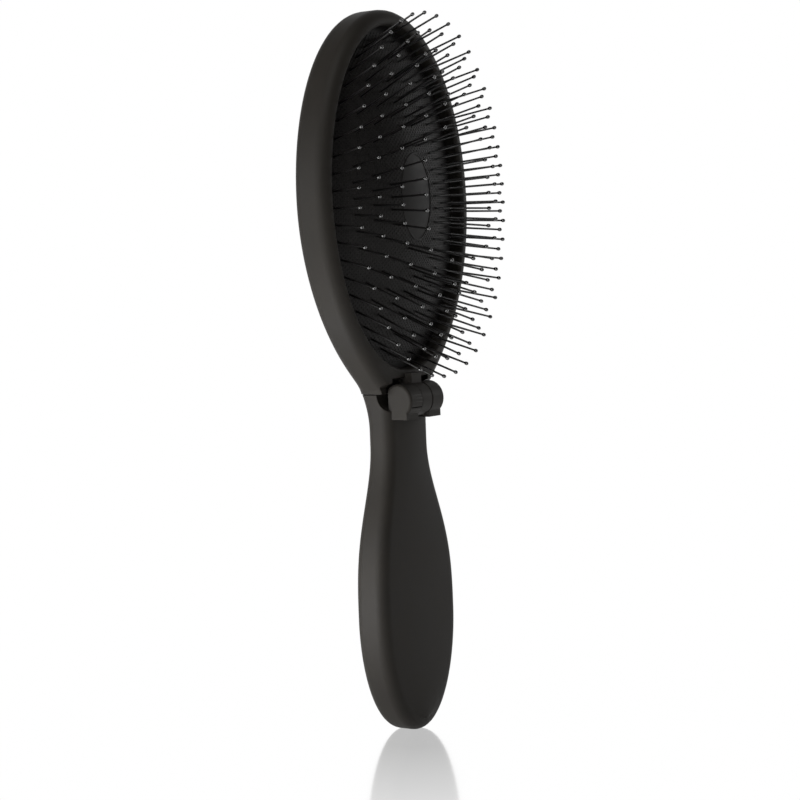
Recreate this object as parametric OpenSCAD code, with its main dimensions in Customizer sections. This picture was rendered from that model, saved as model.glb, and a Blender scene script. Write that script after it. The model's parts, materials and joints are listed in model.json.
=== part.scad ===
// Folding hairbrush: a spoon-shaped handle, a hinged oval head with a rubber cushion full of
// ball-tipped pins in front and a mirror in its back. It stands on the end of the handle, with the
// pins towards -Y and the mirror towards +Y. The head folds forward about an X axis at the neck.

/* [Handle] */
// Length of the handle, from its rounded end to the seam with the head
handle_len = 91.4; // [86:0.1:100]
// Greatest width of the handle
handle_w = 34.1; // [30:0.1:38]
// Height of the widest place above the rounded end
handle_wide_z = 32; // [28:0.5:36]
// Height at which the neck begins to run straight
neck_start_z = 78; // [74:0.5:80]
// Width of the neck
neck_w = 18.8; // [18:0.1:20]
// Depth of the grip in front of the middle plane
grip_front = 4.95; // [4.2:0.05:5.5]
// Depth of the grip behind the middle plane
grip_back = 5.35; // [4.6:0.05:6]
// Depth of the neck in front of the middle plane
neck_front = 3.4; // [3.1:0.05:3.6]
// Depth of the neck behind the middle plane
neck_back = 4.95; // [4.6:0.05:5.4]
// How far the large faces of the handle bulge in the middle
grip_crown = 0.45; // [0:0.05:1]
// Radius of the edges round the handle and the head
edge_r = 3.2; // [2.6:0.1:3.6]
// Width of the handle and of the head where they meet
seam_w = 20; // [19:0.1:21]
// Gap that shows between the handle and the head
seam_gap = 0.25; // [0.15:0.05:0.4]
// Length over which the neck flares out towards the seam
flare_len = 10; // [7:0.5:12]

/* [Head] */
// Length of the head, from the seam to its tip
head_len = 103.3; // [98:0.1:108]
// Greatest width of the head
head_w = 67.2; // [66:0.1:70]
// Height of the widest place above the seam
head_wide_u = 53; // [50:0.5:55]
// How far below the seam the flanks of the head would meet
flank_run = 3; // [2:0.5:4]
// Power that draws the flanks in towards the neck
flank_power = 0.69; // [0.66:0.01:0.72]
// Distance of the rim in front of the middle plane
rim_front = 4; // [3.8:0.05:4.4]
// Distance of the back of the head behind the middle plane
head_back = 6.6; // [6.3:0.05:7]
// Angle by which the head leans back from the handle
head_lean = 1.2; // [0:0.1:3]

/* [Cushion] */
// Half of the width of the opening for the cushion
open_half_w = 29.3; // [28.5:0.1:29.6]
// Half of the length of the opening for the cushion
open_half_len = 42.8; // [41:0.1:43.5]
// Power that sets how pointed the ends of the ovals are
oval_power = 0.55; // [0.5:0.01:0.6]
// Radius of the edge round the opening
lip_r = 1; // [0.5:0.1:1.5]
// Gap between the cushion and the wall of the opening
cushion_gap = 0.15; // [0.1:0.05:0.3]
// Thickness of the rubber
rubber_t = 1.2; // [0.9:0.1:1.4]
// Height of the middle of the dome in front of the rim
dome_rise = 9.2; // [7:0.1:11]
// How far the dome's edge lies below the rim
dome_edge = 1.1; // [0.8:0.1:1.5]
// Radius of the dome across its widest place
dome_r = 46; // [44:0.5:50]
// Steepness of the dome's flanks, in degrees
flank_angle = 36; // [34:0.5:38]
// How far the bead round the cushion stands out
bead_out = 0.8; // [0.6:0.1:1]
// Height of the bead round the cushion
bead_h = 1.4; // [1.2:0.1:1.8]
// Depth of the bead's front face below the rim
bead_depth = 3.4; // [3:0.1:4]
// Depth of the chamber behind the cushion, from the rim
chamber_depth = 7; // [6.5:0.1:7.2]

/* [Pins] */
// Length of a pin, from the rubber to the middle of its ball
pin_len = 12.1; // [10:0.1:14]
// Diameter of a pin
pin_d = 0.6; // [0.5:0.05:0.8]
// Diameter of the ball on a pin
ball_d = 1.4; // [1.1:0.05:1.6]
// Depth to which a pin goes into its ball
ball_seat = 0.5; // [0.3:0.05:0.6]
// Diameter of the foot that holds a pin behind the rubber
foot_d = 1.5; // [1.2:0.1:1.6]
// Thickness of the foot
foot_t = 0.6; // [0.4:0.05:0.8]
// Spacing of the pins along a column, at its middle
pin_pitch = 4.35; // [4.2:0.05:4.8]
// Radius of the curve that draws the pins closer towards the ends
crowding_r = 68; // [60:1:80]
// Half of the length of the pin field, where all columns would meet
field_half_len = 41.3; // [40.5:0.1:42]
// How much further the pins fan out lengthwise than the dome does
fan = 1.3; // [1:0.05:1.5]
// Half of the width of the smooth oval at the middle of the cushion
bare_half_w = 7.4; // [5:0.1:9]
// Half of the length of the smooth oval at the middle of the cushion
bare_half_len = 11.6; // [8:0.1:14]

/* [Mirror] */
// Half of the width of the mirror
mirror_half_w = 27; // [24:0.1:28]
// Half of the length of the mirror
mirror_half_len = 43; // [38:0.1:44]
// Thickness of the mirror glass
mirror_t = 1.5; // [1.2:0.1:1.6]
// Thickness of the adhesive foam behind the glass
tape_t = 0.4; // [0.3:0.05:0.5]
// How far the glass lies below the back of the head
mirror_sink = 0.2; // [0.1:0.05:0.3]
// Gap round the edge of the glass
mirror_gap = 0.2; // [0.1:0.05:0.3]
// How far the foam keeps inside the edge of the glass
tape_inset = 1.5; // [1:0.1:3]

/* [Hinge] */
// Distance of the hinge axis in front of the middle plane
axis_front = 4.97; // [4.8:0.01:5.1]
// Distance of the hinge axis below the seam
axis_drop = 1.13; // [1:0.01:1.3]
// Radius of the hinge ears
ear_r = 4.6; // [4.4:0.05:4.8]
// Distance of the outer faces of the ears from the middle
ear_out = 7.85; // [7.6:0.05:8.2]
// Radius of the ears' outer edge
ear_edge_r = 0.8; // [0.4:0.1:1]
// How far the foot of the ears reaches below the axis
ear_foot_drop = 5; // [4.8:0.1:5.4]
// How far the foot of the ears reaches in front of the axis
ear_foot_front = 3; // [2.6:0.1:3.2]
// Radius of the knuckle between the ears
knuckle_r = 4.5; // [4.3:0.05:4.6]
// Width of the knuckle
knuckle_w = 4.4; // [4:0.1:5]
// Gap between the knuckle and the ears
knuckle_gap = 0.3; // [0.25:0.05:0.4]
// How far the knuckle's arm reaches in front of the axis
arm_front = 1; // [0.8:0.05:1.1]
// Gap between round hinge surfaces that pass each other
hinge_gap = 0.35; // [0.3:0.05:0.45]
// Radius of the hollow in the neck behind the ears
hollow_r = 4.65; // [4.4:0.05:4.9]
// Distance of the hollow's centre behind the hinge axis
hollow_back = 0.6; // [0.4:0.05:0.8]
// Height of the hollow's centre above the hinge axis
hollow_up = 1.6; // [1.4:0.05:1.8]
// Radius of the steel hinge pin
axle_r = 1; // [0.8:0.05:1.2]
// Gap round the hinge pin in the knuckle
axle_gap = 0.05; // [0.03:0.01:0.08]
// Gap round the hinge pin in the ears
axle_fit = 0.01; // [0.01:0.01:0.02]
// Thickness of the ear's wall at the closed end of the pin's bore
axle_wall = 1.2; // [1:0.1:2]
// How far the pin lies below the face of the open ear
axle_sink = 0.3; // [0.2:0.05:0.5]

/* [Hidden] */
COLUMNS = 11;
$fn = 48;

corner_steps = 5;
crown_columns = [0.35, 0.7];
oval_steps = 72;
over = 1;
axis_y = -axis_front;
axis_z = handle_len - axis_drop;
knuckle_half = knuckle_w / 2;
ear_in = knuckle_half + knuckle_gap;
// The pocket in the head clears the ears' feet when the head is folded down over them.
pocket_r = norm([ear_foot_front, ear_foot_drop]) + hinge_gap;
oval_u = head_wide_u;
chamber_y = chamber_depth - rim_front;
cushion_half_w = open_half_w - cushion_gap;
cushion_half_len = open_half_len - cushion_gap;
dome_edge_y = dome_edge - rim_front;
bead_y = bead_depth - rim_front;
skirt_y = bead_y + bead_h;
column_k = function (i) 2 * (i - 1) / (COLUMNS - 1) - 1;

// The whole brush is centred over the end of the handle in Y.
front_y = -(rim_front + dome_rise + pin_len + ball_d / 2) * cos(head_lean) + head_wide_u * sin(head_lean);
back_y = head_back * cos(head_lean) + head_len * sin(head_lean);
centre_y = -(front_y + back_y) / 2;

// ---- Outlines -------------------------------------------------------------------------------

// Rises from 0 to 1 and back down to 0 at the neck: how much of the grip's swell is there.
function swell(z) = z <= handle_wide_z ? 1 : z >= neck_start_z ? 0 :
    (1 + cos(180 * pow((z - handle_wide_z) / (neck_start_z - handle_wide_z), 1.45))) / 2;

// Grows from 0 to 1 over the last stretch below the seam.
function flare(z) = pow(max(0, z - handle_len + flare_len) / flare_len, 2);

function handle_half(z) = z <= handle_wide_z
    ? handle_w / 2 * sqrt(max(0, 1 - pow(1 - z / handle_wide_z, 2)))
    : neck_w / 2 + (handle_w - neck_w) / 2 * swell(z) + (seam_w - neck_w) / 2 * flare(z);
function handle_front(z) = -neck_front - (grip_front - neck_front) * swell(z);
function handle_rear(z) = neck_back + (grip_back - neck_back) * swell(z) + (head_back - neck_back) * flare(z);

function head_flank(u) = head_w / 2
    * pow(max(0, 1 - pow((head_wide_u - u) / (head_wide_u + flank_run), 2)), flank_power);
function head_half(u) = u >= head_wide_u
    ? head_w / 2 * sqrt(max(0, 1 - pow((u - head_wide_u) / (head_len - head_wide_u), 2)))
    : pow(pow(head_flank(u), 8) + pow(seam_w / 2, 8), 1 / 8);

// Heights at which the rings of a body stand: close together where the outline turns.
function round_end(z0, z1, n, a0) = [for (i = [0:n]) z0 + (z1 - z0) * (1 - cos(a0 + (90 - a0) * i / n))];
handle_z = concat(round_end(0, handle_wide_z, 14, 3),
    [for (i = [1:22]) handle_wide_z + (handle_len + over - handle_wide_z) * i / 22]);
head_z = concat([for (i = [0:22]) -over - 1 + (head_wide_u + over + 1) * pow(i / 22, 1.15)],
    [for (a = [4.5:4.5:85.5]) head_wide_u + (head_len - head_wide_u) * sin(a)],
    [head_wide_u + (head_len - head_wide_u) * sin(88)]);

// Oval of a given half width and half length, as points [x, u] round the oval's middle.
function oval(half_w, half_len) = [for (i = [0:oval_steps - 1]) let (a = 360 * i / oval_steps)
    [half_w * sign(cos(a)) * pow(abs(cos(a)), 2 * oval_power), oval_u + half_len * sin(a)]];
function oval_half(u, half_w, half_len) =
    half_w * pow(max(0, 1 - pow((u - oval_u) / half_len, 2)), oval_power);

// ---- Lofts ----------------------------------------------------------------------------------

// One side of a ring: from the middle of the front face, round the edge, to the middle of the back.
// p is the outline's point [x, z], n the outline's inward direction there.
// A flat face needs no columns of its own between the rounded edges.
function half_ring(p, n, y0, y1, crown) = let (inner = p + edge_r * n, columns = crown > 0 ? crown_columns : [])
    concat([for (c = columns) [inner[0] * c, y0 - crown * (1 - c * c), inner[1]]],
    [for (k = [0:corner_steps]) let (a = 90 * k / corner_steps, q = p + edge_r * (1 - sin(a)) * n)
        [q[0], y0 + edge_r * (1 - cos(a)), q[1]]],
    [for (k = [corner_steps:-1:0]) let (a = 90 * k / corner_steps, q = p + edge_r * (1 - sin(a)) * n)
        [q[0], y1 - edge_r * (1 - cos(a)), q[1]]],
    [for (i = [len(columns) - 1:-1:0]) let (c = columns[i])
        [inner[0] * c, y1 + crown * (1 - c * c), inner[1]]]);

function inward(a, b) = let (d = b - a) [-d[1], d[0]] / norm(d);
function flipped(ring) = [for (i = [len(ring) - 1:-1:0]) [-ring[i][0], ring[i][1], ring[i][2]]];

// Full rings of a plate with rounded edges, symmetrical in X. outline is its right half [x, z].
function plate_rings(outline, y0, y1, crown) = [for (i = [0:len(outline) - 1])
    let (n = inward(outline[max(0, i - 1)], outline[min(len(outline) - 1, i + 1)]),
        half = half_ring(outline[i], n, y0[i], y1[i], crown)) concat(half, flipped(half))];

// Skin through a stack of equal rings, closed at both ends by strips from side to side.
module skin(rings) {
    m = len(rings[0]);
    last = len(rings) - 1;
    sides = [for (i = [0:last - 1], j = [0:m - 1]) let (k = (j + 1) % m)
        each [[i * m + j, (i + 1) * m + j, (i + 1) * m + k], [i * m + j, (i + 1) * m + k, i * m + k]]];
    ends = [for (j = [0:m / 2 - 2])
        each [[j, j + 1, m - 2 - j, m - 1 - j],
            [last * m + m - 1 - j, last * m + m - 2 - j, last * m + j + 1, last * m + j]]];
    polyhedron([for (r = rings) each r], concat(sides, ends), convexity = 6);
}

// Skin through a stack of closed ovals. levels holds [extra half size, y] for each.
module oval_plug(half_w, half_len, levels) {
    m = oval_steps;
    last = len(levels) - 1;
    points = [for (v = levels) each
        [for (p = oval(half_w + v[0], half_len + v[0])) [p[0], v[1], p[1]]]];
    sides = [for (i = [0:last - 1], j = [0:m - 1]) let (k = (j + 1) % m)
        each [[i * m + j, i * m + k, (i + 1) * m + k], [i * m + j, (i + 1) * m + k, (i + 1) * m + j]]];
    polyhedron(points, concat(sides,
        [[for (j = [m - 1:-1:0]) j], [for (j = [0:m - 1]) last * m + j]]), convexity = 4);
}

// Straight-walled oval plate between two depths.
module oval_plate(half_w, half_len, y0, y1)
    translate([0, y1, 0]) rotate([90, 0, 0]) linear_extrude(y1 - y0) polygon(oval(half_w, half_len));

// ---- Places ---------------------------------------------------------------------------------

module in_brush() translate([0, centre_y, 0]) children();
module in_head() in_brush() translate([0, 0, handle_len]) rotate([-head_lean, 0, 0]) children();
// Across the hinge: from x0 to x1 along the axis.
module on_axis(x0) in_brush() translate([x0, axis_y, axis_z]) rotate([0, 90, 0]) children();
module axis_rod(r, x0, x1) on_axis(x0) cylinder(r = r, h = x1 - x0);

// ---- Dome and pins --------------------------------------------------------------------------

// Share of the dome's full size at a height u: 1 at the middle, 0 where the columns meet.
function share(u) = pow(max(0.0001, 1 - pow((u - oval_u) / field_half_len, 2)), 0.63);
function dome_radius(u) = dome_r * pow(share(u), 1.2);
function apex_y(u) = dome_edge_y - (dome_rise + dome_edge) * pow(share(u), 0.4);

// Point of the dome's outside at height u and angle a from the middle line.
function dome_point(u, a) =
    [dome_radius(u) * sin(a), apex_y(u) + dome_radius(u) * (1 - cos(a)), u];

// Slope of the dome along its length.
function dome_slope(u, a) = let (x = dome_radius(u) * sin(a), d = 0.05,
    lo = dome_radius(u - d), hi = dome_radius(u + d))
    (apex_y(u + d) + hi - sqrt(max(0.01, hi * hi - x * x))
        - apex_y(u - d) - lo + sqrt(max(0.01, lo * lo - x * x))) / (2 * d);

// Heights of the pins of column i. Neighbouring columns are staggered by half a pitch.
function pin_heights(i) = let (m = i % 2 == 1 ? 9 : 9.5, bare_x = dome_r * sin(flank_angle * column_k(i)))
    [for (j = [-m:1:m]) let (u = oval_u + crowding_r * sin(j * pin_pitch / crowding_r * 180 / PI))
        if (pow(bare_x / bare_half_w, 2) + pow((u - oval_u) / bare_half_len, 2) > 1) u];

// Puts its children on the rubber at every pin of column i, with +Z along the pin.
module at_pins(i) {
    a = column_k(i) * flank_angle;
    for (u = pin_heights(i)) {
        p = dome_point(u, a);
        rise = fan * dome_slope(u, a) * cos(a);
        in_head() translate(p) rotate([0, 0, a]) rotate([90 - atan(rise), 0, 0]) children();
    }
}

// ---- Sub-parts ------------------------------------------------------------------------------

// One hinge ear, as a disc with a rounded outer edge on a square foot, on the +X side.
module ear() {
    on_axis(ear_in) rotate_extrude() {
        square([ear_r - ear_edge_r, ear_out - ear_in]);
        square([ear_r, ear_out - ear_in - ear_edge_r]);
        translate([ear_r - ear_edge_r, ear_out - ear_in - ear_edge_r]) circle(ear_edge_r);
    }
    in_brush() translate([ear_in, axis_y - ear_foot_front, axis_z - ear_foot_drop])
        cube([ear_out - ear_in, ear_foot_front + axis_front, ear_foot_drop - ear_edge_r]);
}

module handle() {
    outline = [for (z = handle_z) [handle_half(z), z]];
    color("#2b2927") difference() {
        union() {
            difference() {
                in_brush() skin(plate_rings(outline, [for (z = handle_z) handle_front(z)],
                    [for (z = handle_z) handle_rear(z)], grip_crown));
                in_brush() translate([-seam_w, -seam_w, handle_len - seam_gap / 2]) cube(2 * seam_w);
                in_brush() translate([-seam_w, axis_y + hollow_back, axis_z + hollow_up])
                    rotate([0, 90, 0]) cylinder(r = hollow_r, h = 2 * seam_w);
            }
            ear();
            mirror([1, 0, 0]) ear();
        }
        axis_rod(knuckle_r + hinge_gap, -ear_in, ear_in);
        axis_rod(axle_r + axle_fit, -ear_out + axle_wall, ear_out + over);
    }
}

module hinge_pin() {
    color("#b9bcc0") axis_rod(axle_r, -ear_out + axle_wall, ear_out - axle_sink);
}

module head_frame() {
    outline = [for (u = head_z) [head_half(u), u]];
    color("#2b2927") difference() {
        union() {
            difference() {
                in_head() skin(plate_rings(outline, [for (u = head_z) -rim_front],
                    [for (u = head_z) head_back], 0));
                in_brush() translate([-seam_w, -seam_w, handle_len + seam_gap / 2 - 2 * seam_w])
                    cube(2 * seam_w);
                axis_rod(pocket_r, -ear_out - hinge_gap, ear_out + hinge_gap);
            }
            knuckle();
        }
        in_head() oval_plug(open_half_w, open_half_len, concat([[lip_r, -rim_front - over]],
            [for (a = [0:22.5:90]) [lip_r * (1 - sin(a)), -rim_front + lip_r * (1 - cos(a))]],
            [[0, chamber_y]]));
        in_head() oval_plate(open_half_w + bead_out, open_half_len + bead_out,
            bead_y - cushion_gap, skirt_y + cushion_gap);
        in_head() oval_plate(mirror_half_w + mirror_gap, mirror_half_len + mirror_gap,
            head_back - mirror_sink - mirror_t - tape_t, head_back + over);
        axis_rod(axle_r + axle_gap, -knuckle_half - over, knuckle_half + over);
    }
}

// Barrel between the ears, with the arm that carries it under the head.
module knuckle() {
    axis_rod(knuckle_r, -knuckle_half, knuckle_half);
    in_brush() translate([-knuckle_half, axis_y - arm_front, handle_len + seam_gap / 2])
        cube([knuckle_w, arm_front + axis_front + head_back / 2, pocket_r + over - axis_drop]);
}

// Cross-section of the dome at height u, from edge to edge: the arc, then straight flanks.
function dome_section(u, t) = let (w = max(0.3, oval_half(u, cushion_half_w, cushion_half_len) - t),
    r = max(0.1, dome_radius(u) - t), top = apex_y(u) + t, foot = dome_edge_y + t,
    a = min(flank_angle, asin(min(1, w / r))), x = min(w, r * sin(a)), y = min(foot, top + r * (1 - cos(a))))
    concat([[-w, skirt_y + (t > 0 ? over : 0), u], [-w, foot, u]],
        [for (k = [-8.5:8.5]) let (b = a * k / 8.5)
            [x * sin(b) / sin(a), top + (y - top) * (1 - cos(b)) / (1 - cos(a)), u]],
        [[w, foot, u], [w, skirt_y + (t > 0 ? over : 0), u]]);

module dome(t) {
    half = cushion_half_len - t;
    skin([for (k = [-16:16]) dome_section(oval_u + half * sin(k * 5.5), t)]);
}

module cushion() {
    color("#181818") difference() {
        in_head() union() {
            dome(0);
            oval_plate(cushion_half_w + bead_out, cushion_half_len + bead_out, bead_y, skirt_y);
        }
        in_head() dome(rubber_t);
        for (i = [1:COLUMNS]) at_pins(i) cylinder(d = pin_d, h = 8 * rubber_t, center = true);
    }
}

module pin_column(i) {
    color("#1c1c1c") at_pins(i) {
        translate([0, 0, -rubber_t - foot_t])
            cylinder(d = pin_d, h = pin_len + rubber_t + foot_t - ball_d / 2 + ball_seat);
        translate([0, 0, -rubber_t - foot_t]) cylinder(d = foot_d, h = foot_t);
    }
}

module tip_column(i) {
    color("#0e0e0e") at_pins(i) difference() {
        translate([0, 0, pin_len]) sphere(d = ball_d);
        translate([0, 0, pin_len - ball_d]) cylinder(d = pin_d, h = ball_d / 2 + ball_seat);
    }
}

module mirror_glass() {
    color("#c8d2d8") in_head() oval_plate(mirror_half_w, mirror_half_len,
        head_back - mirror_sink - mirror_t, head_back - mirror_sink);
}

module mirror_tape() {
    color("#3a3a3a") in_head() oval_plate(mirror_half_w - tape_inset, mirror_half_len - tape_inset,
        head_back - mirror_sink - mirror_t - tape_t, head_back - mirror_sink - mirror_t);
}

handle();
hinge_pin();
head_frame();
cushion();
mirror_glass();
mirror_tape();
for (i = [1:COLUMNS]) {
    pin_column(i);
    tip_column(i);
}
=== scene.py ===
import json

import bmesh
import bpy
import numpy as np
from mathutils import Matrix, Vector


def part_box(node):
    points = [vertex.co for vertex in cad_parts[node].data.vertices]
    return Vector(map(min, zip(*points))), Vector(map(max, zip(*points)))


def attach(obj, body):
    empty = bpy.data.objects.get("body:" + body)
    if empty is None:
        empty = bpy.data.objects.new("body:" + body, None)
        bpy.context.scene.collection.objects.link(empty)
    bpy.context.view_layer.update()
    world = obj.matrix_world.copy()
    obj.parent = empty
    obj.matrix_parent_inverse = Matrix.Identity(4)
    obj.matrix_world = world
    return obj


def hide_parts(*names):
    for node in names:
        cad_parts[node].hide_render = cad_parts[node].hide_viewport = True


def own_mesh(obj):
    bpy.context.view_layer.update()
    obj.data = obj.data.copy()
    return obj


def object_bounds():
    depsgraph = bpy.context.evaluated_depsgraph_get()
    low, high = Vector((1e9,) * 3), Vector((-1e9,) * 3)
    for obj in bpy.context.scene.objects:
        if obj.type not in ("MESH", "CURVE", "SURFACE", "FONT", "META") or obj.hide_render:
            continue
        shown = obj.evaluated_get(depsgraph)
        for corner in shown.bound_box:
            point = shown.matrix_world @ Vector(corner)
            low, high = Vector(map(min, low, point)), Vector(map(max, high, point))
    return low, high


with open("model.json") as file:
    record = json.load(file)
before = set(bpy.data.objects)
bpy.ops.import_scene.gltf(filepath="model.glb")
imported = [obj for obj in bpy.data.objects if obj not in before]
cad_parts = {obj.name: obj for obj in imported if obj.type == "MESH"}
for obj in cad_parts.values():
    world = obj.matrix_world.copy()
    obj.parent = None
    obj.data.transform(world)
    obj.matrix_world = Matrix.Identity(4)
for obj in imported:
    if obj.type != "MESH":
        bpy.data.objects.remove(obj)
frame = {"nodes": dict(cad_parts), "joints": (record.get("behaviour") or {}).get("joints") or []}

cad_bounds = [list(corner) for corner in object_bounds()]


# ---- View ---------------------------------------------------------------------------------------
# The brush is photographed from its left front, from just above the middle of the handle, with a
# long lens that is turned two degrees. The camera is aimed at a point just behind the hinge, which
# falls on one place of the picture.
VIEW_AZIMUTH, VIEW_ELEVATION, VIEW_ROLL = np.radians([-54, 4.4, 2.2])
VIEW_DISTANCE = 0.676
LENS_MM, SENSOR_MM, PICTURE = 112.5, 36, 800
AIM_IN_PICTURE = np.array([399, 394.6])
AIM_BEHIND_AXIS, AIM_OVER_AXIS = 0.00497, 0.00113

hinge_point = np.array(frame["joints"][0]["pos_m"])
aim = hinge_point + [0, AIM_BEHIND_AXIS, AIM_OVER_AXIS]


def camera_axes(azimuth, elevation, roll):
    """Right, up and back of a camera that looks along +Y at azimuth 0, turned by roll about its line
    of sight."""
    back = np.array([np.sin(azimuth) * np.cos(elevation), -np.cos(azimuth) * np.cos(elevation),
                     np.sin(elevation)])
    level = np.cross(-back, [0, 0, 1])
    level /= np.linalg.norm(level)
    top = np.cross(level, -back)
    right = level * np.cos(roll) - top * np.sin(roll)
    return right, level * np.sin(roll) + top * np.cos(roll), back


right, up, back = camera_axes(VIEW_AZIMUTH, VIEW_ELEVATION, VIEW_ROLL)
off_centre = (AIM_IN_PICTURE - PICTURE / 2) / PICTURE * SENSOR_MM / LENS_MM
sight = -back + off_centre[0] * right - off_centre[1] * up
place = np.eye(4)
place[:3, 0], place[:3, 1], place[:3, 2] = right, up, back
place[:3, 3] = aim - sight * VIEW_DISTANCE
camera = bpy.data.objects.new("camera", bpy.data.cameras.new("camera"))
bpy.context.scene.collection.objects.link(camera)
camera.data.lens, camera.data.sensor_width = LENS_MM, SENSOR_MM
camera.data.clip_start = 0.01
camera.matrix_world = place.T.tolist()
bpy.context.scene.camera = camera
bpy.context.scene.view_settings.view_transform = "Standard"


# ---- Studio -------------------------------------------------------------------------------------
# A white glossy table under a white sweep, as for a cut-out product picture. The table keeps a weak
# mirror image of the handle's end. The room on the camera's side is dim, so that black plastic
# stays black, and soft boxes light the brush, most of all from its left.
def linear(colour):
    """Linear colour of an sRGB hex value."""
    share = np.array([int(colour[i:i + 2], 16) / 255 for i in (1, 3, 5)])
    low, high = share / 12.92, ((share + 0.055) / 1.055) ** 2.4
    return (*np.where(share <= 0.04045, low, high).tolist(), 1)


def add(tree, kind, inputs={}, **settings):
    """Adds a node with its own settings, and with its sockets set to values or linked to outputs."""
    made = tree.nodes.new("ShaderNode" + kind)
    for name, value in settings.items():
        setattr(made, name, value)
    for socket, value in inputs.items():
        if isinstance(value, bpy.types.NodeSocket):
            tree.links.new(value, made.inputs[socket])
        else:
            made.inputs[socket].default_value = value
    return made


def new_material(name):
    """An empty material, its node tree and its output node."""
    made = bpy.data.materials.new(name)
    made.use_nodes = True
    made.node_tree.nodes.clear()
    return made, made.node_tree, made.node_tree.nodes.new("ShaderNodeOutputMaterial")


def new_mesh(name, points, faces):
    """A linked object that holds these points and faces, at the origin."""
    mesh = bpy.data.meshes.new(name)
    mesh.from_pydata(np.asarray(points).tolist(), [], faces)
    made = bpy.data.objects.new(name, mesh)
    bpy.context.scene.collection.objects.link(made)
    return made


# White acrylic sheet: it gives the eye plain white, with a mirror image of the brush that fades out
# with the distance from it.
TABLE_HALF = 3
WHITE = "#ffffff"
TABLE_GLOSS, TABLE_ROUGHNESS = 0.5, 0.1
GLOSS_FROM, GLOSS_TO = 0.02, 0.18

table_material, tree, output = new_material("white_acrylic")
matt = add(tree, "BsdfDiffuse", {"Color": linear(WHITE)})
glow = add(tree, "Emission", {"Color": linear(WHITE), "Strength": 1})
path = add(tree, "LightPath")
seen = add(tree, "Math", {0: path.outputs["Is Camera Ray"], 1: path.outputs["Is Glossy Ray"]},
           operation="MAXIMUM")
base = add(tree, "MixShader", {0: seen.outputs[0], 1: matt.outputs[0], 2: glow.outputs[0]})
gloss = add(tree, "BsdfGlossy", {"Color": linear(WHITE), "Roughness": TABLE_ROUGHNESS})
away = add(tree, "VectorMath", {0: add(tree, "TexCoord").outputs["Object"]}, operation="LENGTH")
polish = add(tree, "MapRange", {0: away.outputs["Value"], 1: GLOSS_FROM, 2: GLOSS_TO, 3: TABLE_GLOSS, 4: 0})
mixed = add(tree, "MixShader", {0: polish.outputs[0], 1: base.outputs[0], 2: gloss.outputs[0]})
tree.links.new(mixed.outputs[0], output.inputs[0])

floor_height = cad_bounds[0][2]
table = new_mesh("table", [(x * TABLE_HALF, y * TABLE_HALF, floor_height)
                           for x, y in ((-1, -1), (1, -1), (1, 1), (-1, 1))], [(0, 1, 2, 3)])
table.data.materials.append(table_material)

# The sweep is white to the eye and in reflections. Towards the photographer's side reflections see
# the dim room, and what lights the brush evenly from all sides is dim too.
ROOM, ROOM_LIGHT = "#d6d3cc", 0.2
DIM, DIM_FROM, DIM_TO = "#1c1b1a", -0.8, -0.35

world = bpy.data.worlds.new("studio")
world.use_nodes = True
bpy.context.scene.world = world
tree = world.node_tree
tree.nodes.clear()
path = add(tree, "LightPath")
seen = add(tree, "Math", {0: path.outputs["Is Camera Ray"], 1: path.outputs["Is Transmission Ray"]},
           operation="MAXIMUM")
toward = add(tree, "VectorMath", {0: add(tree, "TexCoord").outputs["Generated"], 1: back.tolist()},
             operation="DOT_PRODUCT")
side = add(tree, "MapRange", {0: toward.outputs["Value"], 1: DIM_FROM, 2: DIM_TO})
sweep = add(tree, "Mix", {0: side.outputs[0], 6: linear(WHITE), 7: linear(DIM)}, data_type="RGBA")
mirrored = add(tree, "Background", {"Color": sweep.outputs[2], "Strength": 1})
room = add(tree, "Background", {"Color": linear(ROOM), "Strength": ROOM_LIGHT})
backdrop = add(tree, "Background", {"Color": linear(WHITE), "Strength": 1})
indirect = add(tree, "MixShader", {0: path.outputs["Is Glossy Ray"], 1: room.outputs[0],
                                   2: mirrored.outputs[0]})
sky = add(tree, "MixShader", {0: seen.outputs[0], 1: indirect.outputs[0], 2: backdrop.outputs[0]})
tree.links.new(sky.outputs[0], tree.nodes.new("ShaderNodeOutputWorld").inputs[0])

# Soft boxes: name, azimuth and elevation of the light as seen from the brush, distance, size, power.
SOFT_BOXES = [("left_box", -124, 3, 0.9, 0.45, 3.6),
              ("base_box", -118, -34, 0.145, 0.08, 0.15),
              ("top_box", -60, 58, 0.8, 0.16, 1.3),
              ("low_box", -84, 3, 0.8, 0.14, 1.6),
              ("right_box", 62, 14, 0.9, 0.25, 0.9)]
middle = (np.array(cad_bounds[0]) + cad_bounds[1]) / 2
for name, azimuth, elevation, distance, size, power in SOFT_BOXES:
    lamp = bpy.data.objects.new(name, bpy.data.lights.new(name, "AREA"))
    bpy.context.scene.collection.objects.link(lamp)
    aside, top, toward = camera_axes(*np.radians([azimuth, elevation]), 0)
    place = np.eye(4)
    place[:3, 0], place[:3, 1], place[:3, 2] = aside, top, toward
    place[:3, 3] = middle + toward * distance
    lamp.matrix_world = place.T.tolist()
    lamp.data.size, lamp.data.energy = size, power
    lamp.visible_camera = False


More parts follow.
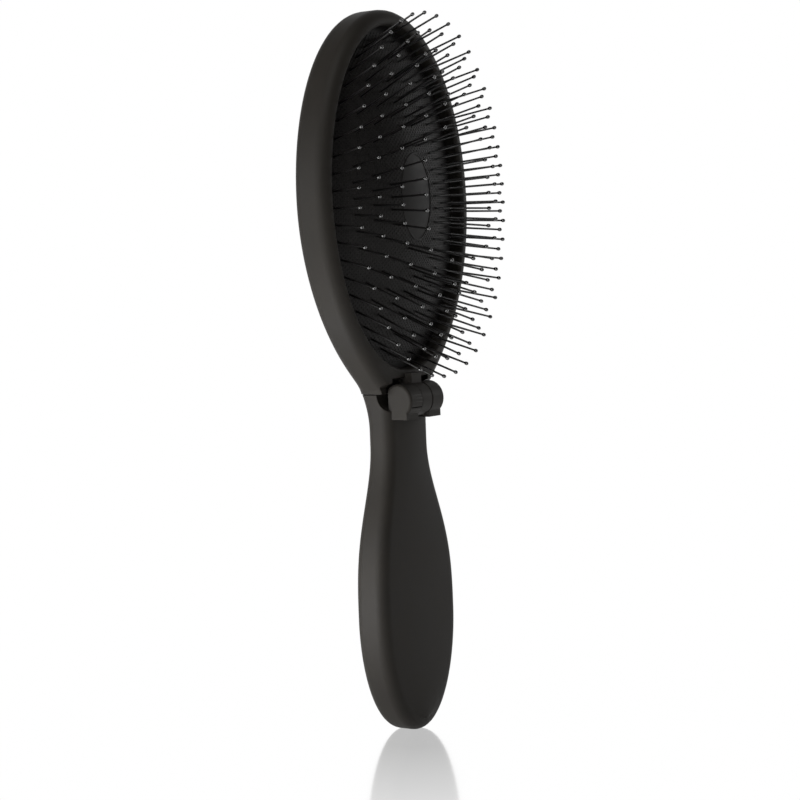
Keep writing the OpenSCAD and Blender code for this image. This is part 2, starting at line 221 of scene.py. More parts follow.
# ---- Handle -------------------------------------------------------------------------------------
# The lower half of the case is an injection-moulded ABS spoon with the two hinge ears at its neck,
# sprayed with black soft-touch lacquer. A hollow behind the ears lets the head's knuckle turn.
AXIS_IN_FRONT, AXIS_UNDER_SEAM, SEAM_GAP, SEAM_WIDTH = 4.97e-3, 1.83e-3, 0.25e-3, 20e-3
GRIP_WIDTH, GRIP_WIDEST, NECK_START, NECK_WIDTH = 34.1e-3, 32e-3, 78e-3, 18.8e-3
GRIP_FRONT, GRIP_BACK, GRIP_CROWN = 4.95e-3, 5.35e-3, 0.45e-3
NECK_FRONT, NECK_BACK, HEAD_BACK, FLARE = 3.4e-3, 4.95e-3, 6.6e-3, 10e-3
SWELL_POWER, CROWN_COLUMNS = 1.45, 8
END_START, END_ROWS, SHAFT_ROWS, OVER_SEAM = 3, 48, 72, 1e-3
EDGE_RADIUS, EDGE_STEPS = 3.2e-3, 9
EAR_RADIUS, EAR_IN, EAR_OUT, EAR_ROUND, EAR_BACK = 4.6e-3, 2.5e-3, 7.85e-3, 0.8e-3, 2.9e-3
FOOT_DROP, FOOT_FRONT, FOOT_SHARE = 5e-3, 3e-3, 0.7
EAR_ROWS, ROD_SIDES = 7, 96
KNUCKLE_RADIUS, HINGE_GAP = 4.5e-3, 0.35e-3
HOLLOW_RADIUS, HOLLOW_BACK, HOLLOW_UP = 4.65e-3, 0.6e-3, 1.6e-3
AXLE_RADIUS, AXLE_WALL = 1.01e-3, 1.2e-3
BEYOND = 10e-3
SMOOTH_UNDER = np.radians(30)
SHELL_BLACK, SHELL_WARM, SHELL_DUST = "#252321", "#2e2b27", "#6e6a62"
SOFTENED_EDGE = 0.2e-3
CLOUD, GRAIN, GRAIN_DEPTH = 14e-3, 0.16e-3, 0.012e-3
DUST_SPACING, DUST_SIZE, DUST_SHARE = 5e-3, 0.12e-3, 0.12

seam_middle = hinge_point + [0, AXIS_IN_FRONT, AXIS_UNDER_SEAM]


def plate(half, height, front, behind, crown, columns):
    """Skin of a plate with rounded edges. Row i lies at outline point [half, height], and runs from the
    middle of the front, crowned by crown * (1 - c ^ 2), round a quarter circle at each edge, to the
    middle of the back, and back on the other side. Strips from side to side close both ends."""
    outline = np.stack([half, height], axis=1)
    run = np.gradient(outline, axis=0)
    inward = np.stack([-run[:, 1], run[:, 0]], axis=1) / np.linalg.norm(run, axis=1, keepdims=True)
    c, a = np.linspace(0, 1, columns, endpoint=False), np.linspace(0, np.pi / 2, EDGE_STEPS)
    inner = outline + EDGE_RADIUS * inward
    arc = EDGE_RADIUS * (1 - np.sin(a))
    face_x, face_z = inner[:, :1] * c, inner[:, 1:] + 0 * c
    edge_x, edge_z = half[:, None] + arc * inward[:, :1], height[:, None] + arc * inward[:, 1:]
    bulge, round_off = crown * (1 - c ** 2), EDGE_RADIUS * (1 - np.cos(a))
    x = np.hstack([face_x, edge_x, edge_x[:, ::-1], face_x[:, ::-1]])
    z = np.hstack([face_z, edge_z, edge_z[:, ::-1], face_z[:, ::-1]])
    y = np.hstack([front[:, None] - bulge, front[:, None] + round_off, behind[:, None] - round_off[::-1],
                   behind[:, None] + bulge[::-1]])
    x, y, z = (np.hstack([v, sign * v[:, -2:0:-1]]) for v, sign in ((x, -1), (y, 1), (z, 1)))
    rows, m = x.shape
    i, j = np.arange(rows - 1)[:, None] * m, np.arange(m)
    quads = np.stack([i + j, i + (j + 1) % m, i + m + (j + 1) % m, i + m + j], axis=-1)
    faces = quads.reshape(-1, 4).tolist()
    for end in (0, (rows - 1) * m):
        faces += [[end + k for k in dict.fromkeys((j, j + 1, (m - j - 1) % m, (m - j) % m))]
                  for j in range(m // 2)]
    return x, y, z, faces


def turned(places, axes, profile, sides):
    """A body of revolution at each place, about its axis. The profile is [radius, height] between two
    poles, whose radius is 0."""
    profile = np.array(profile)
    across = np.cross(axes, [0.2, 0.3, 1])
    across /= np.linalg.norm(across, axis=1, keepdims=True)
    third = np.cross(axes, across)
    turn = np.arange(sides) * 2 * np.pi / sides
    spoke = np.cos(turn)[:, None] * across[:, None] + np.sin(turn)[:, None] * third[:, None]
    rings = (places[:, None, None] + profile[1:-1, 0][:, None, None] * spoke[:, None]
             + profile[1:-1, 1][:, None, None] * axes[:, None, None])
    poles = places[:, None] + profile[[0, -1], 1][:, None] * axes[:, None]
    points = np.concatenate([rings.reshape(len(places), -1, 3), poles], axis=1)
    rows, n = len(profile) - 2, np.arange(sides)
    m = (n + 1) % sides
    faces = [(r * sides + a, r * sides + b, (r + 1) * sides + b, (r + 1) * sides + a)
             for r in range(rows - 1) for a, b in zip(n, m)]
    faces += [(rows * sides, b, a) for a, b in zip(n, m)]
    faces += [(rows * sides + 1, (rows - 1) * sides + a, (rows - 1) * sides + b) for a, b in zip(n, m)]
    step = points.shape[1]
    return points.reshape(-1, 3), [tuple(int(i) + step * k for i in face)
                                   for k in range(len(places)) for face in faces]


def on_axis(profile, turn_to=1, behind=0, over=0):
    """A body turned about the hinge axis, or about one that lies behind and over it."""
    centre = hinge_point + [0, behind, over]
    return new_mesh("tool", *turned(centre[None], np.array([[turn_to, 0, 0]]), profile, ROD_SIDES))


def rod(radius, start, end, **shift):
    """A round bar along the hinge axis from start to end."""
    return on_axis([(0, start), (radius, start), (radius, end), (0, end)], **shift)


def block(low, high):
    """A box between two corners that are given from the hinge point."""
    points = [hinge_point + [(low, high)[k][0], (low, high)[j][1], (low, high)[i][2]]
              for i in (0, 1) for j in (0, 1) for k in (0, 1)]
    return new_mesh("tool", points, [(0, 2, 3, 1), (4, 5, 7, 6), (0, 1, 5, 4), (2, 6, 7, 3), (0, 4, 6, 2),
                                     (1, 3, 7, 5)])


def outward(made):
    """The piece with all its faces turned outwards."""
    mesh = bmesh.new()
    mesh.from_mesh(made.data)
    bmesh.ops.recalc_face_normals(mesh, faces=mesh.faces)
    mesh.to_mesh(made.data)
    mesh.free()
    return made


def worked(made, operation, *tools):
    """The piece with tools joined to it, cut from it or kept in it. The tools are used up."""
    for tool in tools:
        step = outward(made).modifiers.new("step", "BOOLEAN")
        step.operation, step.object, step.solver = operation, outward(tool), "EXACT"
        shape = bpy.data.meshes.new_from_object(made.evaluated_get(bpy.context.evaluated_depsgraph_get()))
        made.modifiers.clear()
        made.data = shape
        bpy.data.objects.remove(tool)
    return made


def smoothed(made, name, material):
    """The piece shaded smooth, apart from its real edges, with large faces kept flat."""
    made.name = made.data.name = name
    made.data.materials.clear()
    made.data.materials.append(material)
    made.data.shade_smooth()
    made.data.set_sharp_from_angle(angle=SMOOTH_UNDER)
    flat = made.modifiers.new("flat_faces", "WEIGHTED_NORMAL")
    flat.keep_sharp = True
    return made


def swell(height):
    """1 up to the grip's widest place, then half a cosine wave down to 0 at the neck."""
    share = np.clip((height - GRIP_WIDEST) / (NECK_START - GRIP_WIDEST), 0, 1)
    return (1 + np.cos(np.pi * share ** SWELL_POWER)) / 2


seam_height = seam_middle[2]
end = GRIP_WIDEST * (1 - np.cos(np.radians(np.linspace(END_START, 90, END_ROWS))))
height = np.concatenate([end, np.linspace(GRIP_WIDEST, seam_height + OVER_SEAM, SHAFT_ROWS)[1:]])
flare = (np.maximum(0, height - seam_height + FLARE) / FLARE) ** 2
half = np.where(height < GRIP_WIDEST,
                GRIP_WIDTH / 2 * np.sqrt(np.maximum(0, 1 - (1 - height / GRIP_WIDEST) ** 2)),
                NECK_WIDTH / 2 + (GRIP_WIDTH - NECK_WIDTH) / 2 * swell(height)
                + (SEAM_WIDTH - NECK_WIDTH) / 2 * flare)
front = -NECK_FRONT - (GRIP_FRONT - NECK_FRONT) * swell(height)
behind = NECK_BACK + (GRIP_BACK - NECK_BACK) * swell(height) + (HEAD_BACK - NECK_BACK) * flare
x, y, z, faces = plate(half, height, front, behind, GRIP_CROWN, CROWN_COLUMNS)
grip = new_mesh("grip", np.stack([x, seam_middle[1] + y, z], axis=-1).reshape(-1, 3), faces)

corner = np.linspace(0, np.pi / 2, EAR_ROWS)
ear_profile = ([(0, EAR_IN), (EAR_RADIUS, EAR_IN)]
               + [(EAR_RADIUS - EAR_ROUND * (1 - np.cos(t)), EAR_OUT - EAR_ROUND * (1 - np.sin(t)))
                  for t in corner]
               + [(0, EAR_OUT)])
worked(grip, "DIFFERENCE",
       block([-BEYOND * 2, -BEYOND * 2, AXIS_UNDER_SEAM - SEAM_GAP / 2], [BEYOND * 2, BEYOND * 2, BEYOND]),
       rod(HOLLOW_RADIUS, -BEYOND * 2, BEYOND * 2, behind=HOLLOW_BACK, over=HOLLOW_UP))
foot_top = EAR_ROUND - FOOT_DROP + FOOT_DROP * FOOT_SHARE
for turn_to in (-1, 1):
    ear = worked(on_axis(ear_profile, turn_to), "DIFFERENCE",
                 block([-BEYOND, EAR_BACK, -BEYOND], [BEYOND, BEYOND, BEYOND]))
    ends = sorted((turn_to * EAR_IN, turn_to * EAR_OUT))
    foot = block([ends[0], -FOOT_FRONT, -FOOT_DROP], [ends[1], EAR_BACK, foot_top])
    worked(grip, "UNION", ear, foot)
worked(grip, "DIFFERENCE", rod(KNUCKLE_RADIUS + HINGE_GAP, -EAR_IN, EAR_IN),
       rod(AXLE_RADIUS, AXLE_WALL - EAR_OUT, EAR_OUT + BEYOND))

# Soft-touch lacquer over ABS: a rubbery, nearly lustreless black with a fine orange peel. It gives
# the eye broad, weak and slightly cloudy highlights, and a few specks of dust.
soft_touch, tree, output = new_material("soft_touch_lacquer")
spot = add(tree, "TexCoord").outputs["Object"]
cloud = add(tree, "TexNoise", {"Vector": spot, "Scale": 1 / CLOUD, "Detail": 4})
tone = add(tree, "Mix", {0: cloud.outputs[0], 6: linear(SHELL_BLACK), 7: linear(SHELL_WARM)},
           data_type="RGBA")
cells = add(tree, "TexVoronoi", {"Vector": spot, "Scale": 1 / DUST_SPACING})
near = add(tree, "Math", {0: cells.outputs["Distance"], 1: DUST_SIZE / DUST_SPACING}, operation="LESS_THAN")
picked = add(tree, "Math", {0: cells.outputs["Color"], 1: 1 - DUST_SHARE}, operation="GREATER_THAN")
dust = add(tree, "Math", {0: near.outputs[0], 1: picked.outputs[0]}, operation="MULTIPLY")
colour = add(tree, "Mix", {0: dust.outputs[0], 6: tone.outputs[2], 7: linear(SHELL_DUST)}, data_type="RGBA")
lustre = add(tree, "MapRange", {0: cloud.outputs[0], 3: 0.5, 4: 0.62})
edge = add(tree, "Bevel", {"Radius": SOFTENED_EDGE}, samples=4)
grain = add(tree, "TexNoise", {"Vector": spot, "Scale": 1 / GRAIN, "Detail": 2})
peel = add(tree, "Bump", {"Strength": 0.5, "Distance": GRAIN_DEPTH, "Height": grain.outputs[0],
                          "Normal": edge.outputs[0]})
surface = add(tree, "BsdfPrincipled", {"Base Color": colour.outputs[2], "Roughness": lustre.outputs[0],
                                       "Specular IOR Level": 0.16, "Normal": peel.outputs[0]})
tree.links.new(surface.outputs[0], output.inputs[0])

smoothed(grip, "grip", soft_touch)
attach(grip, "handle")
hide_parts("handle")


# ---- Hinge pin ----------------------------------------------------------------------------------
# A drawn steel pin, pressed into the two ears from the right, on which the knuckle turns. It keeps
# the shape of its CAD node and gets a material only.
STEEL, LINE_SPACING = "#b5b8bb", 0.754e-3
WAVES_PER_SCALE = 20 / (2 * np.pi)

# Drawn steel: a bright grey metal with faint lines, which give the eye a slightly streaky shine.
drawn_steel, tree, output = new_material("drawn_steel")
spot = add(tree, "TexCoord").outputs["Object"]
lines = add(tree, "TexWave", {"Vector": spot, "Scale": 1 / LINE_SPACING / WAVES_PER_SCALE, "Distortion": 2},
            bands_direction="Z")
shade = add(tree, "MapRange", {0: lines.outputs["Fac"], 3: 0.28, 4: 0.4})
surface = add(tree, "BsdfPrincipled", {"Base Color": linear(STEEL), "Metallic": 1,
                                       "Roughness": shade.outputs[0]})
tree.links.new(surface.outputs[0], output.inputs[0])
frame["nodes"]["hinge_pin"].data.materials.clear()
frame["nodes"]["hinge_pin"].data.materials.append(drawn_steel)


# ---- Head frame ---------------------------------------------------------------------------------
# The upper half of the case is one moulding with the rim round the cushion, the neck and the
# knuckle between the ears, in the same lacquer as the handle.
HEAD_LEAN = np.radians(1.2)
HEAD_WIDTH, WIDEST_U, RIM_FRONT = 67.2e-3, 52.3e-3, 4e-3
FLANK_RUN, FLANK_POWER, BLEND_POWER = 3.7e-3, 0.69, 8
UNDER_SEAM, HEAD_ROWS, TIP_END = 2e-3, 70, 88
OPENING_HALF, LIP_RADIUS, CUSHION_GAP, CHAMBER_Y = np.array([29.2e-3, 46e-3]), 1e-3, 0.15e-3, 3e-3
BEAD_OUT, BEAD_Y, SKIRT_Y = 0.8e-3, 0, 1.4e-3
RECESS_HALF, RECESS_Y = np.array([27.2e-3, 43.2e-3]), 4.5e-3
KNUCKLE_HALF, ARM_FRONT, ARM_OVER_POCKET, AXLE_RUN = 2.2e-3, 1e-3, 1e-3, 1.05e-3
POCKET_RADIUS = float(np.hypot(FOOT_FRONT, FOOT_DROP)) + HINGE_GAP
AROUND, LIP_ROWS = 144, 8


def in_head(x, y, u):
    """World points of x across, y behind the middle plane of the head and u above the seam."""
    return np.stack([x, seam_middle[1] + y * np.cos(HEAD_LEAN) + u * np.sin(HEAD_LEAN),
                     seam_middle[2] - y * np.sin(HEAD_LEAN) + u * np.cos(HEAD_LEAN)], axis=-1)


def oval_rings(levels, around):
    """Closed skin of ovals [half width, half length, y] about the head's middle, with a pole at each
    end: x = half width * cos(t) and u = middle + half length * sin(t)."""
    levels = np.array(levels)
    turn = np.arange(around) * 2 * np.pi / around
    wide, long, deep = (levels[:, i, None] + 0 * turn for i in range(3))
    rings = in_head(wide * np.cos(turn), deep, WIDEST_U + long * np.sin(turn)).reshape(-1, 3)
    poles = in_head(np.zeros(2), levels[[0, -1], 2], np.full(2, WIDEST_U))
    n = np.arange(around)
    m = (n + 1) % around
    first = np.arange(len(levels) - 1)[:, None] * around
    quads = np.stack([first + n, first + around + n, first + around + m, first + m], axis=-1).reshape(-1, 4)
    front, end = len(rings), (len(levels) - 1) * around
    fans = np.concatenate([np.stack([front + 0 * n, n, m], axis=-1),
                           np.stack([front + 1 + 0 * n, end + m, end + n], axis=-1)])
    return np.concatenate([rings, poles]), quads.tolist() + fans.tolist()


def head_half(u):
    """Half width of the head: a quarter ellipse above the widest place, and below it a power curve that
    blends into the neck's half width as the eighth root of both eighth powers summed."""
    over = np.sqrt(np.maximum(0, 1 - ((u - WIDEST_U) / (head_length - WIDEST_U)) ** 2))
    under = np.maximum(0, 1 - ((WIDEST_U - u) / (WIDEST_U + FLANK_RUN)) ** 2) ** FLANK_POWER
    flank = ((HEAD_WIDTH / 2 * under) ** BLEND_POWER + (SEAM_WIDTH / 2) ** BLEND_POWER) ** (1 / BLEND_POWER)
    return np.where(u >= WIDEST_U, HEAD_WIDTH / 2 * over, flank)


# The tip of the head reaches the top of the CAD head.
tip_y = EDGE_RADIUS - RIM_FRONT
head_length = (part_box("head_frame")[1][2] - seam_middle[2] + tip_y * np.sin(HEAD_LEAN)) / np.cos(HEAD_LEAN)
rise = np.sin(np.radians(np.linspace(0, TIP_END, HEAD_ROWS)))
u = np.concatenate([np.linspace(-UNDER_SEAM, WIDEST_U, HEAD_ROWS),
                    WIDEST_U + (head_length - WIDEST_U) * rise[1:]])
x, y, z, faces = plate(head_half(u), u, np.full_like(u, -RIM_FRONT), np.full_like(u, HEAD_BACK), 0, 1)
head_case = new_mesh("head_case", in_head(x, y, z).reshape(-1, 3), faces)

over_seam = AXIS_UNDER_SEAM + SEAM_GAP / 2
notch = worked(rod(EAR_RADIUS + HINGE_GAP, -BEYOND * 2, BEYOND * 2), "INTERSECT",
               block([-BEYOND * 2, -BEYOND, 0], [BEYOND * 2, EAR_BACK + HINGE_GAP, BEYOND]))
worked(head_case, "DIFFERENCE",
       block([-BEYOND * 2, -BEYOND * 2, -BEYOND], [BEYOND * 2, BEYOND * 2, over_seam]),
       rod(POCKET_RADIUS, -EAR_OUT - HINGE_GAP, EAR_OUT + HINGE_GAP), notch)
worked(head_case, "UNION", rod(KNUCKLE_RADIUS, -KNUCKLE_HALF, KNUCKLE_HALF),
       block([-KNUCKLE_HALF, -ARM_FRONT, over_seam],
             [KNUCKLE_HALF, AXIS_IN_FRONT + HEAD_BACK / 2, POCKET_RADIUS + ARM_OVER_POCKET]))
lip = [(*(OPENING_HALF + LIP_RADIUS * (1 - np.sin(t))), LIP_RADIUS * (1 - np.cos(t)) - RIM_FRONT)
       for t in np.linspace(0, np.pi / 2, LIP_ROWS)]
groove = [(*(OPENING_HALF + out), deep) for out, deep in
          ((0, BEAD_Y - CUSHION_GAP), (BEAD_OUT, BEAD_Y - CUSHION_GAP), (BEAD_OUT, SKIRT_Y + CUSHION_GAP),
           (0, SKIRT_Y + CUSHION_GAP), (0, CHAMBER_Y))]
before_lip = [(*(OPENING_HALF + LIP_RADIUS), -RIM_FRONT - BEYOND)]
worked(head_case, "DIFFERENCE",
       new_mesh("tool", *oval_rings(before_lip + lip + groove, AROUND)),
       new_mesh("tool", *oval_rings([(*RECESS_HALF, RECESS_Y), (*RECESS_HALF, HEAD_BACK + BEYOND)], AROUND)),
       rod(AXLE_RUN, -2 * KNUCKLE_HALF, 2 * KNUCKLE_HALF))
smoothed(head_case, "head_case", soft_touch)
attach(head_case, "head")
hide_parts("head_frame")


# ---- Cushion ------------------------------------------------------------------------------------
# A domed membrane of moulded natural rubber, snapped with its bead into a groove inside the rim. Its
# face is covered with small raised dots on a diagonal grid. A bare oval with a thin raised line
# round it lies in the middle. The rubber pops in when the brush is folded.
CUSHION_HALF = OPENING_HALF - CUSHION_GAP
EDGE_Y, DOME_HEIGHT, DOME_FLAT, DOME_FOOT = -0.4e-3, 9.6e-3, 1.84, 1.24
RUBBER, DOME_ROWS, DOME_START = 1.2e-3, 40, 0.02
DOT_PITCH, DOT_RADIUS, DOT_HEIGHT, DOT_SIDES = 0.9e-3, 0.34e-3, 0.16e-3, 6
BARE_HALF = np.array([6.4e-3, 11.5e-3])
BARE_LINE, LINE_SIDES = 0.22e-3, 8
DOT_SINK, DOT_SHOULDER, DOT_TOP, DOTS_END = 0.5, 0.7, 0.75, 0.97
RUBBER_BLACK, RUBBER_DUSTY = "#171616", "#232120"
BLOOM, PORES, PORE_DEPTH = 9e-3, 0.1e-3, 0.01e-3


def dome_y(share):
    """Depth of the dome at a share of the way out: edge - height * (1 - share ^ flat) ^ foot."""
    return EDGE_Y - DOME_HEIGHT * np.maximum(0, 1 - share ** DOME_FLAT) ** DOME_FOOT


def dome_slope(x, u):
    """Growth of the dome's depth with x and with u, the derivatives of dome_y at those points."""
    share = np.clip(np.hypot(x / CUSHION_HALF[0], (u - WIDEST_U) / CUSHION_HALF[1]), 0.02, 0.99)
    steep = (DOME_HEIGHT * DOME_FOOT * DOME_FLAT * (1 - share ** DOME_FLAT) ** (DOME_FOOT - 1)
             * share ** (DOME_FLAT - 2))
    return steep * x / CUSHION_HALF[0] ** 2, steep * (u - WIDEST_U) / CUSHION_HALF[1] ** 2


def joined(*parts):
    """The points and faces of several parts as one mesh."""
    start = np.cumsum([0] + [len(points) for points, _ in parts])
    return (np.concatenate([points for points, _ in parts]),
            [tuple(i + int(first) for i in face)
             for first, (_, faces) in zip(start, parts) for face in faces])


# Outside from the middle of the dome to its edge, down the skirt, round the bead and back inside.
shares = np.sin(np.linspace(DOME_START, 1, DOME_ROWS) * np.pi / 2)
outside = [(*(CUSHION_HALF * s), dome_y(s)) for s in shares]
bead = [(*(CUSHION_HALF + out), y)
        for out, y in ((0, BEAD_Y), (BEAD_OUT, BEAD_Y), (BEAD_OUT, SKIRT_Y), (-RUBBER, SKIRT_Y))]
inside = [(*((CUSHION_HALF - RUBBER) * s), dome_y(s) + RUBBER) for s in shares[::-1]]
membrane = oval_rings(outside + bead + inside, AROUND)

# Dots: a square grid turned by 45 degrees, on the dome but not on the bare oval.
count = int(CUSHION_HALF.sum() / DOT_PITCH)
i, j = np.meshgrid(np.arange(-count, count + 1), np.arange(-count, count + 1))
dot_x = ((i - j) * DOT_PITCH / np.sqrt(2)).ravel()
dot_u = WIDEST_U + ((i + j) * DOT_PITCH / np.sqrt(2)).ravel()
dot_share = np.hypot(dot_x / CUSHION_HALF[0], (dot_u - WIDEST_U) / CUSHION_HALF[1])
bare_share = np.hypot(dot_x / (BARE_HALF[0] + DOT_PITCH / 2),
                      (dot_u - WIDEST_U) / (BARE_HALF[1] + DOT_PITCH / 2))
kept = (dot_share < DOTS_END) & (bare_share > 1)
dot_x, dot_u, dot_share = dot_x[kept], dot_u[kept], dot_share[kept]
slope_x, slope_u = dome_slope(dot_x, dot_u)
normal = in_head(slope_x, -np.ones_like(slope_x), slope_u) - in_head(np.zeros(1), np.zeros(1), np.zeros(1))
normal /= np.linalg.norm(normal, axis=1, keepdims=True)
dots = turned(in_head(dot_x, dome_y(dot_share), dot_u), normal,
              [(0, -DOT_SINK * DOT_HEIGHT), (DOT_RADIUS, -DOT_SINK * DOT_HEIGHT),
               (DOT_TOP * DOT_RADIUS, DOT_SHOULDER * DOT_HEIGHT), (0, DOT_HEIGHT)], DOT_SIDES)

# Raised line round the bare oval: a round bead carried along it, sunk by half.
turn = np.arange(AROUND) * 2 * np.pi / AROUND
section = np.arange(LINE_SIDES) * 2 * np.pi / LINE_SIDES
grow = 1 + BARE_LINE * np.cos(section) / BARE_HALF.mean()
line_x = np.cos(turn)[:, None] * BARE_HALF[0] * grow
line_u = np.sin(turn)[:, None] * BARE_HALF[1] * grow
line_y = dome_y(np.hypot(line_x / CUSHION_HALF[0], line_u / CUSHION_HALF[1])) - BARE_LINE * np.sin(section)
a, b = np.meshgrid(np.arange(AROUND), np.arange(LINE_SIDES), indexing="ij")
here, ahead, beside = a * LINE_SIDES, (a + 1) % AROUND * LINE_SIDES, (b + 1) % LINE_SIDES
line_faces = np.stack([here + b, ahead + b, ahead + beside, here + beside], axis=-1).reshape(-1, 4)
bare_line = in_head(line_x, line_y, WIDEST_U + line_u).reshape(-1, 3), line_faces.tolist()

# Natural rubber with carbon black: it gives the eye a dull black with a faint grey bloom and a
# finely pored skin.
natural_rubber, tree, output = new_material("moulded_natural_rubber")
spot = add(tree, "TexCoord").outputs["Object"]
bloom = add(tree, "TexNoise", {"Vector": spot, "Scale": 1 / BLOOM, "Detail": 5})
tone = add(tree, "Mix", {0: bloom.outputs[0], 6: linear(RUBBER_BLACK), 7: linear(RUBBER_DUSTY)},
           data_type="RGBA")
pores = add(tree, "TexNoise", {"Vector": spot, "Scale": 1 / PORES, "Detail": 2})
skin = add(tree, "Bump", {"Strength": 0.3, "Distance": PORE_DEPTH, "Height": pores.outputs[0]})
surface = add(tree, "BsdfPrincipled", {"Base Color": tone.outputs[2], "Roughness": 0.5,
                                       "Specular IOR Level": 0.2, "Normal": skin.outputs[0]})
tree.links.new(surface.outputs[0], output.inputs[0])

cushion = new_mesh("rubber_cushion", *joined(membrane, dots, bare_line))
cushion.data.materials.append(natural_rubber)
cushion.data.shade_smooth()
cushion.data.set_sharp_from_angle(angle=np.radians(50))
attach(cushion, "head")
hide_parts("cushion")
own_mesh(cushion)


# ---- Pins ---------------------------------------------------------------------------------------
# Nylon pins, moulded with a disc foot that holds them behind the rubber, in five oval rings. They
# fan out a little more than the dome does.
RINGS, RING_PINS, RING_PINS_LESS = 5, 46, 6
RING_HALF, RING_STEP = np.array([26e-3, 42.4e-3]), np.array([5.4e-3, 5.3e-3])
FAN = np.array([1.15, 1.5])
NO_PINS_HALF = np.array([7.2e-3, 12.4e-3])
PIN_LENGTH, PIN_RADIUS, PIN_SIDES = 15.2e-3, 0.3e-3, 8
PIN_TAPER_FROM, PIN_END_RADIUS, PIN_IN_TIP, PIN_END_IN_TIP = 0.3, 0.85, 0.3e-3, 0.2e-3
FOOT_RADIUS, FOOT_THICKNESS = 1e-3, 0.6e-3
NYLON_BLACK, FLOW_MARKS = "#0f0e0e", 1.5e-3


def ring_places(ring):
    """Places [x, u] of the pins of a ring, spaced evenly along its oval: the angle a at each equal
    step t is t - (length - width) / (length + width) / 2 * sin(2 t)."""
    wide, long = RING_HALF - RING_STEP * ring
    pins = RING_PINS - RING_PINS_LESS * ring
    t = np.pi / 2 - 2 * np.pi * np.arange(pins) / pins
    a = t - (long - wide) / (long + wide) / 2 * np.sin(2 * t)
    return np.stack([wide * np.cos(a), WIDEST_U + long * np.sin(a)], axis=-1)


places = np.concatenate([ring_places(ring) for ring in range(RINGS)])
x, u = places[np.hypot(places[:, 0] / NO_PINS_HALF[0], (places[:, 1] - WIDEST_U) / NO_PINS_HALF[1]) > 1].T
slope_x, slope_u = dome_slope(x, u)
pin_feet = in_head(x, dome_y(np.hypot(x / CUSHION_HALF[0], (u - WIDEST_U) / CUSHION_HALF[1])), u)
pin_ways = in_head(FAN[0] * slope_x, -np.ones_like(x), FAN[1] * slope_u) - in_head(*np.zeros((3, 1)))
pin_ways /= np.linalg.norm(pin_ways, axis=1, keepdims=True)

# Nylon, injection-moulded and not lacquered: it gives the eye a satin black that glints a little
# along the shaft.
nylon, tree, output = new_material("moulded_nylon")
spot = add(tree, "TexCoord").outputs["Object"]
flow = add(tree, "TexNoise", {"Vector": spot, "Scale": 1 / FLOW_MARKS, "Detail": 2})
satin = add(tree, "MapRange", {0: flow.outputs[0], 3: 0.25, 4: 0.4})
surface = add(tree, "BsdfPrincipled", {"Base Color": linear(NYLON_BLACK), "Roughness": satin.outputs[0]})
tree.links.new(surface.outputs[0], output.inputs[0])

shaft_profile = [(0, -RUBBER - FOOT_THICKNESS), (FOOT_RADIUS, -RUBBER - FOOT_THICKNESS),
                 (FOOT_RADIUS, -RUBBER), (PIN_RADIUS, -RUBBER), (PIN_RADIUS, PIN_TAPER_FROM * PIN_LENGTH),
                 (PIN_END_RADIUS * PIN_RADIUS, PIN_LENGTH - PIN_IN_TIP), (0, PIN_LENGTH - PIN_END_IN_TIP)]
shafts = new_mesh("pin_shafts", *turned(pin_feet, pin_ways, shaft_profile, PIN_SIDES))
shafts.data.materials.append(nylon)
shafts.data.shade_smooth()
shafts.data.set_sharp_from_angle(angle=np.radians(60))
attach(shafts, "head")
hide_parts(*[node for node in frame["nodes"] if node.startswith("pins_col_")])
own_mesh(shafts)


# ---- Ball tips ----------------------------------------------------------------------------------
# A drop of black enamel on the end of each pin, made by dipping, so it is slightly longer than it
# is wide and has a glassy skin that shows each soft box as a bright point.
TIP_RADIUS, TIP_BACK, TIP_FRONT, TIP_SIDES, TIP_ROWS = 0.52e-3, 0.75e-3, 0.58e-3, 10, 6
ENAMEL_BLACK, ENAMEL_BROWN, BATCH = "#060606", "#0c0a09", 4e-3

# Dipped enamel: it gives the eye a glassy black with small, sharp highlights.
enamel, tree, output = new_material("dipped_enamel")
spot = add(tree, "TexCoord").outputs["Object"]
batch = add(tree, "TexNoise", {"Vector": spot, "Scale": 1 / BATCH})
tone = add(tree, "Mix", {0: batch.outputs[0], 6: linear(ENAMEL_BLACK), 7: linear(ENAMEL_BROWN)},
           data_type="RGBA")
surface = add(tree, "BsdfPrincipled", {"Base Color": tone.outputs[2], "Roughness": 0.08, "IOR": 1.6,
                                       "Coat Weight": 1, "Coat Roughness": 0.03})
tree.links.new(surface.outputs[0], output.inputs[0])

# Half of an egg on each side of its widest ring: radius * sin(t) over the length * cos(t).
angles = np.linspace(0, np.pi, TIP_ROWS + 2)
tip_profile = [(TIP_RADIUS * np.sin(t) if 0 < k <= TIP_ROWS else 0,
                PIN_LENGTH - (TIP_BACK if t < np.pi / 2 else TIP_FRONT) * np.cos(t))
               for k, t in enumerate(angles)]
balls = new_mesh("pin_tips", *turned(pin_feet, pin_ways, tip_profile, TIP_SIDES))
balls.data.materials.append(enamel)
balls.data.shade_smooth()
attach(balls, "head")
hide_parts(*[node for node in frame["nodes"] if node.startswith("tips_col_")])
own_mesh(balls)


# ---- Mirror -------------------------------------------------------------------------------------
# An oval of silvered float glass with a bevelled edge, stuck into the recess in the back of the head.
# The photo doesn't show it.
MIRROR_HALF = np.array([27e-3, 43e-3])
MIRROR_FRONT, MIRROR_BACK = 6.4e-3, 4.9e-3
BEVEL_WIDTH, BEVEL_DROP, BEVEL_SEAM = 2.2e-3, 0.35e-3, 0.1e-3
FLAT_MIDDLE, EDGE_BANDS = 0.5, 2
SILVER, GROUND_EDGE = "#e9edef", "#46504c"
WAVES, WAVE_DEPTH, GRIT = 30e-3, 0.02e-3, 0.2e-3

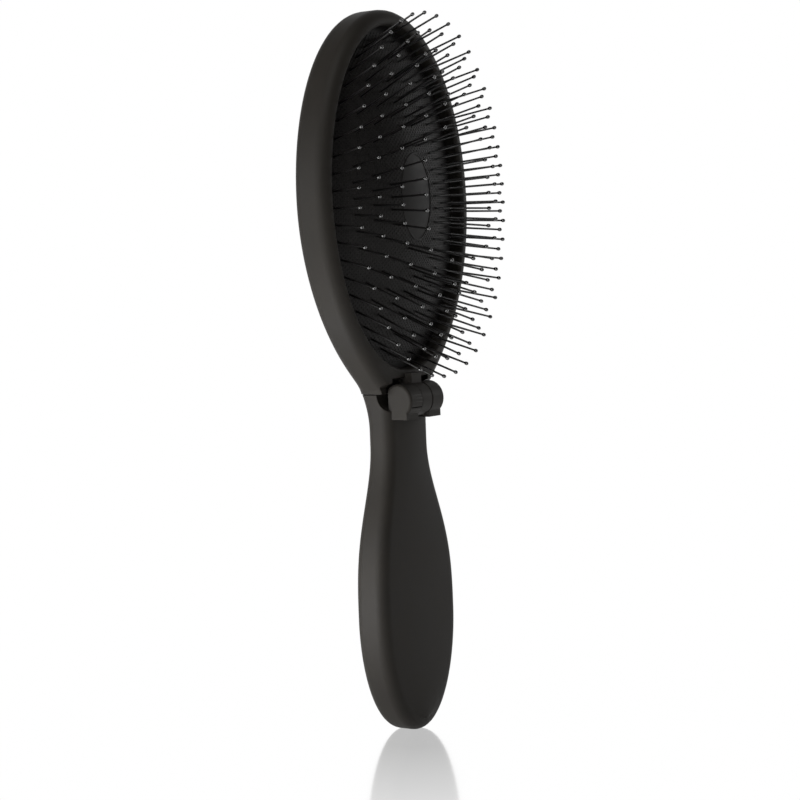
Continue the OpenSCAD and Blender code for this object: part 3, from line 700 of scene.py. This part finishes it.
# Silvered glass: it gives the eye a clear, faintly blue mirror image with a barely seen waviness.
silvered_glass, tree, output = new_material("silvered_glass")
spot = add(tree, "TexCoord").outputs["Object"]
wave = add(tree, "TexNoise", {"Vector": spot, "Scale": 1 / WAVES})
ripple = add(tree, "Bump", {"Strength": 0.15, "Distance": WAVE_DEPTH, "Height": wave.outputs[0]})
surface = add(tree, "BsdfPrincipled", {"Base Color": linear(SILVER), "Metallic": 1, "Roughness": 0.015,
                                       "Normal": ripple.outputs[0]})
tree.links.new(surface.outputs[0], output.inputs[0])

# Ground glass: it gives the eye a matt grey-green line round the mirror.
ground_glass, tree, output = new_material("ground_glass_edge")
spot = add(tree, "TexCoord").outputs["Object"]
grit = add(tree, "TexNoise", {"Vector": spot, "Scale": 1 / GRIT})
dull = add(tree, "MapRange", {0: grit.outputs[0], 3: 0.35, 4: 0.55})
surface = add(tree, "BsdfPrincipled", {"Base Color": linear(GROUND_EDGE), "Roughness": dull.outputs[0]})
tree.links.new(surface.outputs[0], output.inputs[0])

glass_levels = [(*MIRROR_HALF, MIRROR_BACK), (*MIRROR_HALF, MIRROR_FRONT - BEVEL_DROP),
                (*(MIRROR_HALF - BEVEL_SEAM), MIRROR_FRONT - BEVEL_DROP + BEVEL_SEAM),
                (*(MIRROR_HALF - BEVEL_WIDTH), MIRROR_FRONT), (*(MIRROR_HALF * FLAT_MIDDLE), MIRROR_FRONT)]
mirror = new_mesh("mirror", *oval_rings(glass_levels, AROUND))
mirror.data.materials.append(silvered_glass)
mirror.data.materials.append(ground_glass)
for face in mirror.data.polygons[:EDGE_BANDS * AROUND]:
    face.material_index = 1
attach(mirror, "head")
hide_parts("mirror_glass")


# ---- Mirror tape --------------------------------------------------------------------------------
# A thin black foam with adhesive on both sides, which holds the mirror in its recess. It keeps the
# shape of its CAD node and gets a material only.
FOAM_BLACK, FOAM_CELLS, CELL_DEPTH = "#1d1d1d", 0.3e-3, 0.1e-3

# Adhesive foam: it gives the eye a dead matt black with open cells.
foam, tree, output = new_material("adhesive_foam")
spot = add(tree, "TexCoord").outputs["Object"]
foam_cells = add(tree, "TexVoronoi", {"Vector": spot, "Scale": 1 / FOAM_CELLS})
open_cells = add(tree, "Bump", {"Strength": 0.6, "Distance": CELL_DEPTH,
                                "Height": foam_cells.outputs["Distance"]})
surface = add(tree, "BsdfPrincipled", {"Base Color": linear(FOAM_BLACK), "Roughness": 0.9,
                                       "Normal": open_cells.outputs[0]})
tree.links.new(surface.outputs[0], output.inputs[0])
frame["nodes"]["mirror_tape"].data.materials.clear()
frame["nodes"]["mirror_tape"].data.materials.append(foam)
